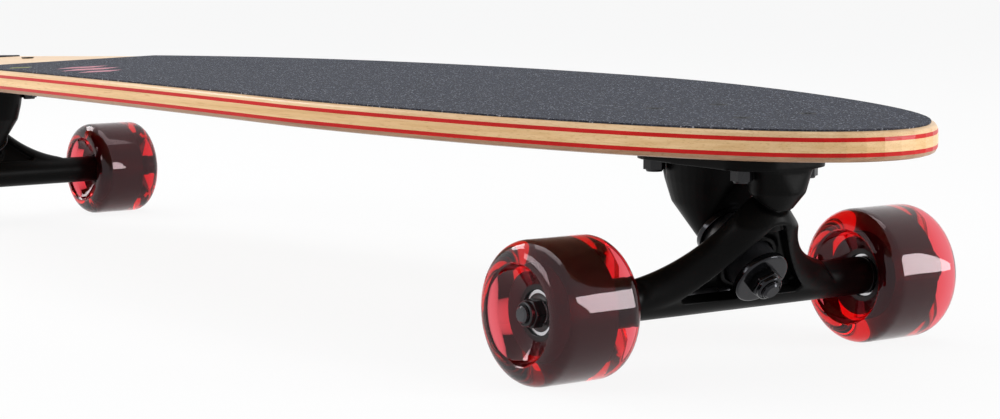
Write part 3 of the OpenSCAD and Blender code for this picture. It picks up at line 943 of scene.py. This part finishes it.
@dataclass(frozen=True)
class CupWasher:
    """A pressed cup washer whose lip wraps the edge of a bushing."""

    seat_mm: float
    turned: bool
    radius_mm: float = 14.5
    bore_mm: float = 5.0
    back_mm: float = 2.0
    flat_mm: float = 12.0
    bend_mm: float = 1.0
    lip_mm: float = 1.2
    lip_round_mm: float = 0.25
    hollow_mm: tuple[Pair, ...] = ((13.6, -0.3), (13.2, 0.0))

    def section(self) -> list[Pair]:
        """Lays out the washer's section, bearing on the bushing at Y = 0.

        Returns:
            A closed loop of (radius, y) in millimetres.
        """
        rim, bend, round_r = self.radius_mm, self.bend_mm, self.lip_round_mm
        outer = arc((rim - bend, self.back_mm - bend), bend, 90.0, 0.0, 6)
        lip = [(rim, -self.lip_mm)] + arc((rim - round_r, -self.lip_mm), round_r, 0.0, -180.0, 4)
        bore = [(self.bore_mm, 0.0), (self.bore_mm, self.back_mm)]
        return [(self.flat_mm, self.back_mm)] + outer + lip + list(self.hollow_mm) + bore


@dataclass(frozen=True)
class LockNut:
    """A chamfered hex lock nut on Y = 0, with its collar and nylon ring."""

    flats_mm: float
    height_mm: float
    bore_mm: float
    collar_mm: float = 2.2
    chamfer_mm: float = 0.45
    # The collar's foot: points in from the flats and up from the top of the body.
    foot_mm: tuple[Pair, ...] = ((0.25, -0.6), (0.3, 0.1))
    collar_inset_mm: float = 0.4
    collar_round_mm: float = 0.9
    # The nylon ring in the top: points out from the bore and down from the top.
    nylon_mm: tuple[Pair, ...] = ((0.9, 0.0), (0.7, 0.35), (0.0, 0.5))
    sides: int = 6
    sharp: float = 0.6

    def hexagon(self, name: str, body_mm: float) -> bpy.types.Mesh:
        """Builds the nut's six-sided body.

        Args:
            name: the mesh's name.
            body_mm: the body's height without the collar.

        Returns:
            The chamfered body about the Y axis.
        """
        made = bmesh.new()
        radius = self.flats_mm / 2 / math.cos(math.pi / self.sides)
        turns = [2 * math.pi * corner / self.sides for corner in range(self.sides)]
        low, high, inner_low, inner_high = (
            [made.verts.new((r * math.cos(t) * MM, y * MM, r * math.sin(t) * MM)) for t in turns]
            for r in (radius, self.bore_mm) for y in (0.0, body_mm))
        for k in range(self.sides):
            n = (k + 1) % self.sides
            made.faces.new((low[k], low[n], high[n], high[k]))
            made.faces.new((high[k], high[n], inner_high[n], inner_high[k]))
            made.faces.new((low[n], low[k], inner_low[k], inner_low[n]))
            made.faces.new((inner_low[n], inner_low[k], inner_high[k], inner_high[n]))
        bmesh.ops.recalc_face_normals(made, faces=made.faces)
        outside = set(low + high)
        rim = [edge for edge in made.edges if outside.issuperset(edge.verts)]
        bmesh.ops.bevel(made, geom=rim, offset=self.chamfer_mm * MM, segments=3, profile=0.5,
                        affect="EDGES")
        data = bpy.data.meshes.new(name)
        made.to_mesh(data)
        made.free()
        shade(data, self.sharp)
        return data

    def collar(self, body_mm: float) -> list[Pair]:
        """Lays out the collar's section.

        Args:
            body_mm: the height of the nut's body, which the collar stands on.

        Returns:
            A closed loop of (radius, y) in millimetres.
        """
        face, top, edge = self.flats_mm / 2, self.height_mm, self.collar_round_mm
        section = [(self.bore_mm, body_mm + self.foot_mm[0][1])]
        section += [(face - inset, body_mm + up) for inset, up in self.foot_mm]
        section += arc((face - self.collar_inset_mm - edge, top - edge), edge, 0.0, 90.0, 5)
        return section + [(self.bore_mm + out, top - down) for out, down in self.nylon_mm]

    def mesh(self, name: str) -> bpy.types.Mesh:
        """Builds the nut.

        Args:
            name: the mesh's name.

        Returns:
            The nut about the Y axis, in metres.
        """
        body = self.height_mm - self.collar_mm
        collar = Lathe(self.collar(body), 64).mesh(name + "_collar")
        return joined(name, [self.hexagon(name + "_body", body), collar])


@dataclass(frozen=True)
class ThreadRidges:
    """Thread crests round a shaft, laid out by a Geometry Nodes tree."""

    radius_mm: float
    length_mm: float
    pitch_mm: float
    crest_mm: float = 0.28
    ring_points: int = 40
    crest_points: int = 4

    def tree(self) -> bpy.types.NodeTree:
        """Builds the tree that repeats one crest along Y.

        Returns:
            The Geometry Nodes tree.
        """
        tree = bpy.data.node_groups.new("thread_ridges", "GeometryNodeTree")
        for name, direction, kind in (
                ("Geometry", "INPUT", "Geometry"), ("Radius", "INPUT", "Float"),
                ("Pitch", "INPUT", "Float"), ("Crest", "INPUT", "Float"),
                ("Count", "INPUT", "Int"), ("Material", "INPUT", "Material"),
                ("Geometry", "OUTPUT", "Geometry")):
            tree.interface.new_socket(name, in_out=direction, socket_type="NodeSocket" + kind)
        nodes, link = tree.nodes, tree.links.new
        source, sink = nodes.new("NodeGroupInput"), nodes.new("NodeGroupOutput")
        sweep = nodes.new("GeometryNodeCurveToMesh")
        for size, points, target in (("Radius", self.ring_points, "Curve"),
                                     ("Crest", self.crest_points, "Profile Curve")):
            circle = nodes.new("GeometryNodeCurvePrimitiveCircle")
            circle.inputs["Resolution"].default_value = points
            link(source.outputs[size], circle.inputs["Radius"])
            link(circle.outputs["Curve"], sweep.inputs[target])
        turn = nodes.new("GeometryNodeTransform")
        turn.inputs["Rotation"].default_value = (math.pi / 2, 0.0, 0.0)
        link(sweep.outputs["Mesh"], turn.inputs["Geometry"])
        line, step = nodes.new("GeometryNodeMeshLine"), nodes.new("ShaderNodeCombineXYZ")
        link(source.outputs["Pitch"], step.inputs["Y"])
        link(source.outputs["Count"], line.inputs["Count"])
        link(step.outputs["Vector"], line.inputs["Offset"])
        copies = nodes.new("GeometryNodeInstanceOnPoints")
        link(line.outputs["Mesh"], copies.inputs["Points"])
        link(turn.outputs["Geometry"], copies.inputs["Instance"])
        real = nodes.new("GeometryNodeRealizeInstances")
        dressed = nodes.new("GeometryNodeSetMaterial")
        link(copies.outputs["Instances"], real.inputs["Geometry"])
        link(real.outputs["Geometry"], dressed.inputs["Geometry"])
        link(source.outputs["Material"], dressed.inputs["Material"])
        link(dressed.outputs["Geometry"], sink.inputs["Geometry"])
        return tree

    def mesh(self, name: str, material: bpy.types.Material) -> bpy.types.Mesh:
        """Evaluates the tree.

        Args:
            name: the mesh's name.
            material: the crests' finish.

        Returns:
            Crests round the Y axis from Y = 0 up.
        """
        tree = bpy.data.node_groups.get("thread_ridges") or self.tree()
        carrier = added(name, bpy.data.meshes.new(name + "_seed"))
        modifier = carrier.modifiers.new("ridges", "NODES")
        modifier.node_group = tree
        values = {"Radius": self.radius_mm * MM, "Pitch": self.pitch_mm * MM,
                  "Crest": self.crest_mm * MM, "Material": material,
                  "Count": max(1, int(self.length_mm / self.pitch_mm))}
        for item in tree.interface.items_tree:
            if item.in_out == "INPUT" and item.name in values:
                modifier[item.identifier] = values[item.name]
        return evaluated(carrier, name)


@dataclass
class Truck:
    """One truck: its castings and hardware."""

    end: End
    finishes: Finishes
    bushings: tuple[Bushing, ...] = (Bushing("roadside", -1.0, 14.0, False),
                                     Bushing("boardside", -5.0, 15.0, True))
    cups: tuple[CupWasher, ...] = (CupWasher(13.0, False), CupWasher(-20.0, True))
    kingpin_nut: LockNut = LockNut(14.3, 7.0, 4.75)
    kingpin_nut_seat_mm: float = 15.0
    kingpin_thread: ThreadRidges = ThreadRidges(4.63, 1.9, 0.9)
    kingpin_thread_seat_mm: float = 22.2
    axle_nut: LockNut = LockNut(12.7, 8.0, 4.0, 2.4)
    axle_nut_y: float = 0.116
    axle_thread: ThreadRidges = ThreadRidges(3.9, 1.5, 0.8, 0.2)
    axle_thread_y: float = 0.1243

    def kingpin_stack(self) -> None:
        """Makes the bushings, cup washers, lock nut and thread crests on the kingpin."""
        name, steel = self.end.label, self.finishes["black_steel"]
        on_kingpin = SteerFrame(self.end).matrix
        for bushing in self.bushings:
            node = f"{name}_{bushing.label}_bushing"
            data = Lathe(bushing.section()).mesh(node + "_fine")
            placed(data, on_kingpin(bushing.seat_mm, bushing.turned))
            piece(data, self.finishes["black_urethane"], ROOT, node)
        cups = [placed(Lathe(cup.section()).mesh("cup"), on_kingpin(cup.seat_mm, cup.turned))
                for cup in self.cups]
        piece(joined(f"{name}_cup_washers_fine", cups), steel, ROOT, f"{name}_cup_washers")
        corner_up = Matrix.Rotation(math.pi / 6, 4, "Y")
        nut = self.kingpin_nut.mesh(f"{name}_kingpin_nut_fine")
        placed(nut, on_kingpin(self.kingpin_nut_seat_mm) @ corner_up)
        piece(nut, steel, ROOT, f"{name}_kingpin_nut")
        crests = self.kingpin_thread.mesh(f"{name}_kingpin_thread", steel)
        piece(placed(crests, on_kingpin(self.kingpin_thread_seat_mm)), steel, ROOT)

    def axle_ends(self) -> None:
        """Makes the lock nuts and thread crests on the axle's two ends."""
        name, steel = self.end.label, self.finishes["dark_steel"]
        body = f"{name}_hanger"
        nuts, crests = [], []
        for side in Side:
            place = truck_matrix(self.end) @ Matrix.Diagonal((1.0, side.value, 1.0, 1.0))
            nuts.append(placed(self.axle_nut.mesh("nut"),
                               place @ Matrix.Translation((0.0, self.axle_nut_y, 0.0))))
            crests.append(placed(self.axle_thread.mesh("crest", steel),
                                 place @ Matrix.Translation((0.0, self.axle_thread_y, 0.0))))
        piece(joined(f"{name}_axle_nuts_fine", nuts), self.finishes["black_hardware"], body,
              f"{name}_axle_nuts")
        piece(joined(f"{name}_axle_thread", crests), steel, body)

    def build(self) -> None:
        """Makes the truck's fine pieces, and then its wheels."""
        name = self.end.label
        Casting(f"{name}_hanger", f"{name}_hanger", self.finishes).build()
        Casting(f"{name}_baseplate", ROOT, self.finishes).build()
        self.kingpin_stack()
        self.axle_ends()
        for side in Side:
            Wheel(self.end, side, self.finishes).build()


@dataclass(frozen=True)
class SoftBox:
    """A rectangular soft lamp of the studio, with its power in watts."""

    name: str
    place: Triple
    target: Triple
    size: Pair
    power: float

    def build(self) -> None:
        """Adds the lamp, facing its target."""
        data = bpy.data.lights.new(self.name, "AREA")
        data.shape = "RECTANGLE"
        data.size, data.size_y = self.size
        data.energy = self.power
        made = added(self.name, data)
        made.location = self.place
        direction = Vector(self.target) - Vector(self.place)
        made.rotation_euler = direction.to_track_quat("-Z", "Y").to_euler()


@dataclass
class Studio:
    """White studio: floor, soft lamps, world and the photograph's camera."""

    camera_place: Triple = (1.33863, -0.81747, 0.20292)
    yaw_deg: float = 53.5384
    elevation_deg: float = 5.9786
    roll_deg: float = -0.524
    focal_px: float = 2555.05
    image_width: int = 1000
    sensor_mm: float = 36.0
    near_clip: float = 0.01
    fill_colour: Triple = (0.93, 0.96, 1.0)
    fill_strength: float = 0.42
    floor_half: float = 40.0
    floor_colour: Triple = (0.86, 0.86, 0.86)
    floor_glow: float = 0.90
    lamps: tuple[SoftBox, ...] = (
        SoftBox("key_softbox", (-0.75, -2.0, 1.0), (-0.2, 0.0, 0.08), (1.6, 0.9), 26.0),
        SoftBox("front_softbox", (1.17, 0.658, 0.25), (0.42, 0.0, 0.06), (0.40, 0.42), 7.2),
        SoftBox("top_softbox", (-0.2, 0.5, 2.4), (0.0, 0.0, 0.1), (2.2, 1.2), 18.0),
        SoftBox("back_softbox", (-1.9, -0.35, 1.55), (0.3, -0.05, 0.1), (1.2, 0.8), 20.0),
    )

    def camera(self) -> None:
        """Sets the camera at the photograph's angle."""
        yaw, rise, roll = map(math.radians, (self.yaw_deg, self.elevation_deg, self.roll_deg))
        back = Vector((math.sin(yaw) * math.cos(rise), -math.cos(yaw) * math.cos(rise),
                       math.sin(rise)))
        level_right = (-back).cross(Vector((0.0, 0.0, 1.0))).normalized()
        level_up = level_right.cross(-back)
        right = level_right * math.cos(roll) + level_up * math.sin(roll)
        up = level_up * math.cos(roll) - level_right * math.sin(roll)
        data = bpy.data.cameras.new("camera")
        data.sensor_fit = "HORIZONTAL"
        data.sensor_width = self.sensor_mm
        data.lens = self.focal_px * self.sensor_mm / self.image_width
        data.clip_start = self.near_clip
        made = added("camera", data)
        turn = Matrix((right, up, back)).transposed().to_4x4()
        made.matrix_world = Matrix.Translation(self.camera_place) @ turn
        bpy.context.scene.camera = made

    def direct_ray(self, tree: bpy.types.NodeTree) -> Socket:
        """Tells the rays that the camera, a gloss or a clear piece sends out.

        Args:
            tree: the node tree that asks.

        Returns:
            A socket that is one for such a ray, else zero.
        """
        path = tree.nodes.new("ShaderNodeLightPath")
        value = path.outputs["Is Camera Ray"]
        for name in ("Is Glossy Ray", "Is Transmission Ray"):
            larger = tree.nodes.new("ShaderNodeMath")
            larger.operation = "MAXIMUM"
            tree.links.new(value, larger.inputs[0])
            tree.links.new(path.outputs[name], larger.inputs[1])
            value = larger.outputs[0]
        return value

    def two_faced(self, tree: bpy.types.NodeTree, kind: str, lit: bpy.types.Node,
                  seen: bpy.types.Node, share: float) -> None:
        """Ends a tree that looks white to direct rays and lights the board by itself.

        Args:
            tree: the cleared node tree.
            kind: the output node's type.
            lit: the shader that lights the board.
            seen: the shader that direct rays see, which is made plain white here.
            share: how much of it they see.
        """
        seen.inputs["Color"].default_value = (*WHITE, 1.0)
        seen.inputs["Strength"].default_value = 1.0
        factor = tree.nodes.new("ShaderNodeMath")
        factor.operation = "MULTIPLY"
        factor.inputs[1].default_value = share
        mix, output = tree.nodes.new("ShaderNodeMixShader"), tree.nodes.new(kind)
        tree.links.new(self.direct_ray(tree), factor.inputs[0])
        tree.links.new(factor.outputs[0], mix.inputs["Fac"])
        tree.links.new(lit.outputs[0], mix.inputs[1])
        tree.links.new(seen.outputs[0], mix.inputs[2])
        tree.links.new(mix.outputs[0], output.inputs["Surface"])

    def world(self) -> None:
        """Even white surroundings that glossy and clear pieces see as well."""
        world = bpy.data.worlds.new("studio")
        bpy.context.scene.world = world
        world.use_nodes = True
        tree = world.node_tree
        tree.nodes.clear()
        lit, seen = (tree.nodes.new("ShaderNodeBackground") for _ in range(2))
        lit.inputs["Color"].default_value = (*self.fill_colour, 1.0)
        lit.inputs["Strength"].default_value = self.fill_strength
        self.two_faced(tree, "ShaderNodeOutputWorld", lit, seen, 1.0)

    def floor(self) -> None:
        """A pale plain floor that keeps the board's shadow."""
        material = bpy.data.materials.new("studio_floor")
        material.use_nodes = True
        tree = material.node_tree
        tree.nodes.clear()
        lit, seen = (tree.nodes.new(kind)
                     for kind in ("ShaderNodeBsdfDiffuse", "ShaderNodeEmission"))
        lit.inputs["Color"].default_value = (*self.floor_colour, 1.0)
        self.two_faced(tree, "ShaderNodeOutputMaterial", lit, seen, self.floor_glow)
        half = self.floor_half
        corners = [(-half, -half, 0.0), (half, -half, 0.0), (half, half, 0.0), (-half, half, 0.0)]
        data = bpy.data.meshes.new("floor")
        data.from_pydata(corners, [], [(0, 1, 2, 3)])
        data.materials.append(material)
        added("floor", data)

    def build(self) -> None:
        """Sets up the whole studio."""
        bpy.context.scene.view_settings.view_transform = "Standard"
        self.camera()
        self.world()
        self.floor()
        for lamp in self.lamps:
            lamp.build()


def main() -> None:
    """Builds the studio, then the board's finishes and fine pieces in order."""
    logging.basicConfig(level=logging.INFO, format="%(message)s")
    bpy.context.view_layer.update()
    Studio().build()
    finishes = Finishes()
    finishes.dress_nodes()
    for end in End:
        Truck(end, finishes).build()


if __name__ == "__main__":
    main()
